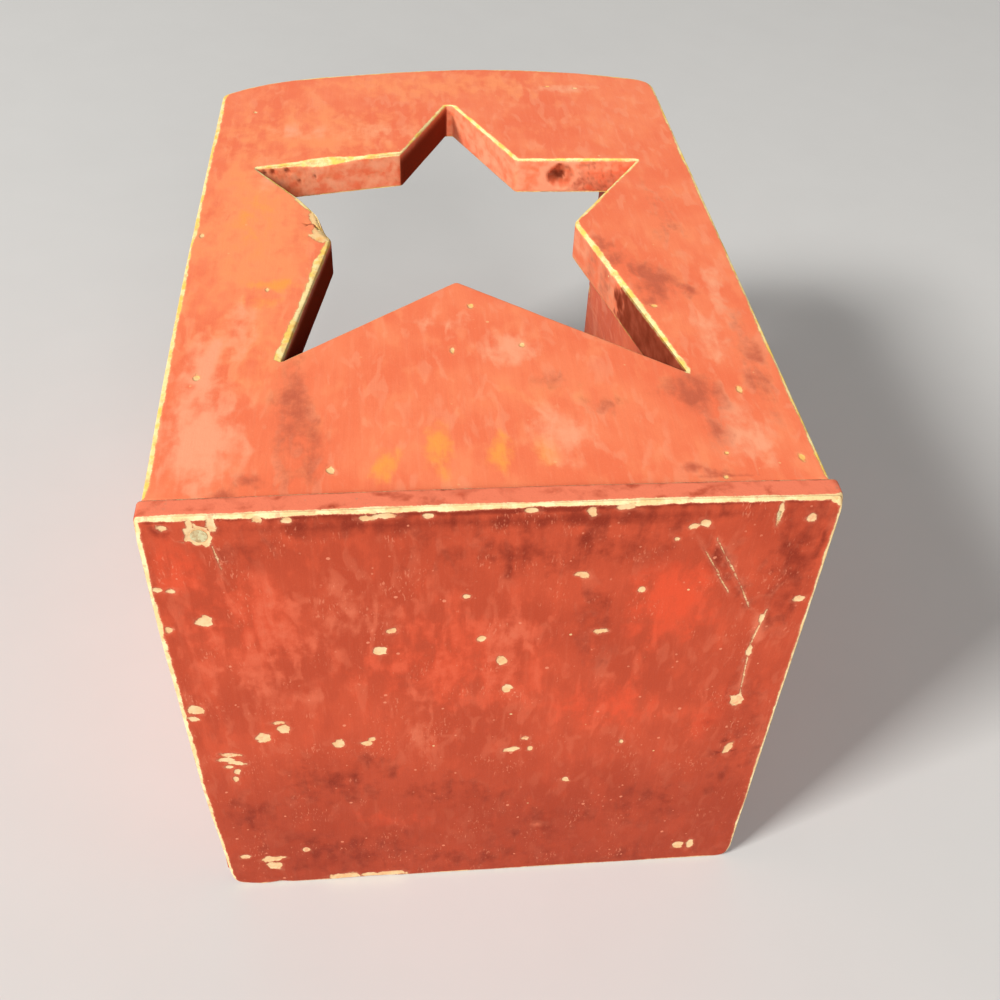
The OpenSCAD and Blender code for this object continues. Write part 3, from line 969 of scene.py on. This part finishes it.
def carve_front(board, fields, sink):
    """The knot, the pits and the torn end grain on the star's walls, and the crack.

    facing marks the walls of the two side arms that the camera looks at. shaded and gloom
    mark the walls that stay dark: those on the star's left, and the right leg's low end."""
    points = board.positions()
    normal = board.rim_normal[board.sample]
    star_wall = board.on_wall & (board.sample >= len(board.lines[0]))
    facing = star_wall & (normal[:, 1] > 0.75) & (points[:, 1] > 50)
    torn = ripple(points, (1.7, 1.6, 1.3), 21)
    swirl = ripple(points, (7, 5, 4.5), 23) + 0.5 * ripple(points, (2.6, 2, 2), 24)
    near_knot = np.exp(-((points[:, 0] - TORN_X) / TORN_REACH) ** 2)
    tear = facing * (0.08 + 0.4 * near_knot + 0.2 * smooth_step(-points[:, 0], 70, 92))
    hole, core, ring = knot_fields(points, facing)
    pit = pit_field(points, facing)
    crack = np.where(board.on_outer, smooth_step(chip_depth(board.uv, NOTCH_CRACK), -0.3, 0.1), 0)
    # painted shade: the walls on the star's left, which face away from the key lamp, darker deeper
    # down
    painted_wall_shade = np.where(star_wall & (normal[:, 0] < -0.5), smooth_step(board.depth, -1, 7), 0)
    # a painted shadow: the right leg's wall darkens towards the leg's tip
    low_leg = star_wall & (normal[:, 0] > 0.5) & (points[:, 1] < 0)
    painted_leg_shadow = np.where(low_leg, smooth_step(LEG_SHADOW_FROM_Y - points[:, 1] + 12 * swirl, 0, 14), 0)
    # dark wood in the knot, torn grain, pits and crack; the painted shade and shadow are added
    # below
    rough = 0.22 * hole + core * np.clip(0.45 + 0.6 * swirl, 0.1, 0.75) \
        + 0.7 * tear * smooth_step(torn, 0.15, 0.45)
    for share in (0.7 * pit, 0.85 * painted_wall_shade, (0.62 + 0.25 * swirl) * painted_leg_shadow, 0.85 * crack):
        rough = np.maximum(rough, share)
    fields["rough"] = np.clip(rough, 0, 0.9)
    # painted light: the star's walls painted paler, except where shade is painted; the pale ring
    # round the knot is real
    haze_and_painted_light = 0.45 + 0.35 * swirl + 0.8 * ring - painted_wall_shade - painted_leg_shadow
    fields["pale"] = np.where(star_wall, np.maximum(haze_and_painted_light, 0), fields["pale"])
    fields["dark"] = np.where(facing, 0.35 * near_knot - 0.3 * swirl, fields["dark"])
    # the painted shade and the painted shadow also darken these walls towards the stain colour
    fields["dark"] = np.maximum(fields["dark"], 1.1 * np.maximum(painted_wall_shade, painted_leg_shadow))
    return (sink + tear * np.maximum(torn + 0.2, 0) + KNOT_DEPTH * hole
            + KNOT_CORE_DEPTH * core + PIT_DEPTH * pit + CRACK_DEPTH * crack)


def make_back_board():
    """The plain board that the box lies on."""
    low, high = node_box("back_board")
    outline = [Corner(low[0], low[1], 0.4, 0.2), Corner(high[0], low[1], 0.4, 0.8),
               Corner(high[0], high[1], 2, 1.0), Corner(low[0], high[1], 2, 0.8)]
    board = Board("back_board", "back_board_paint", (0, 1, 2), [outline], low[2], high[2],
                  step=1.8, grid=7, arris=0.9)
    board.build(painted_wood("back_paint", BARN_RED._replace(grain=(2.6, 48, 2.6))))


SIDE_CHIPS = {                   # y, z, half length, half height
    "left": marks((
        (-150, 60, 2.4, 2.0), (-120, 180, 1.6, 2.2), (60, 40, 2.6, 1.4), (120, 190, 2, 2),
        (146, 90, 2, 4), (-20, 222, 3, 1.4), (20, 100, 1.2, 1.2), (-60, 140, 1.5, 1.1))),
    "right": [Mark(151.4, 121, 2.4, 2.8), Mark(148, 117.5, 0.9, 1.2)]}
SIDE_STAINS = {
    "dark": marks((
        (-120, 60, 50, 40, 0.5), (-60, 212, 60, 12, 0.5), (142, 40, 10, 24, 0.6),
        (20, 26, 120, 8, 0.6), (-178, 120, 7, 80, 0.7))),
    "pale": marks((
        (-40, 120, 50, 40, 0.5), (100, 60, 40, 20, 0.4), (100, 204, 30, 16, 0.4))),
}


def make_side_board(side):
    """One side board, between the front board and the back board."""
    node = side + "_side_board"
    low, high = node_box(node)
    outline = [Corner(low[1], low[2], 0.3, 0.1), Corner(high[1], low[2], 0.3, 0.7),
               Corner(high[1], high[2], 0.3, 0.1), Corner(low[1], high[2], 0.3, 0.1)]
    board = Board(node, "side_board_paint", (1, 2, 0), [outline], low[0], high[0],
                  step=1.8, grid=7, arris=0.7, inner_arris=0.6, inner_wear=0.5,
                  chips=SIDE_CHIPS[side], stains=SIDE_STAINS)
    board.build(painted_wood(side + "_side_paint", SIDE_SALMON))


def make_nails():
    """The nails keep their CAD shape and get an old iron finish."""
    iron = old_iron("old_iron")
    for name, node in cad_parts.items():
        if "nails" in name:
            for holder in node.material_slots:
                holder.material = iron


# ---- the whole picture

bpy.context.scene.view_settings.view_transform = "Standard"
make_camera()
make_world()
make_lamp("key_lamp", **KEY_LAMP)
make_lamp("fill_lamp", **FILL_LAMP)
studio_floor()
make_bottom_board()
make_front_board()
make_back_board()
make_side_board("left")
make_side_board("right")
make_nails()
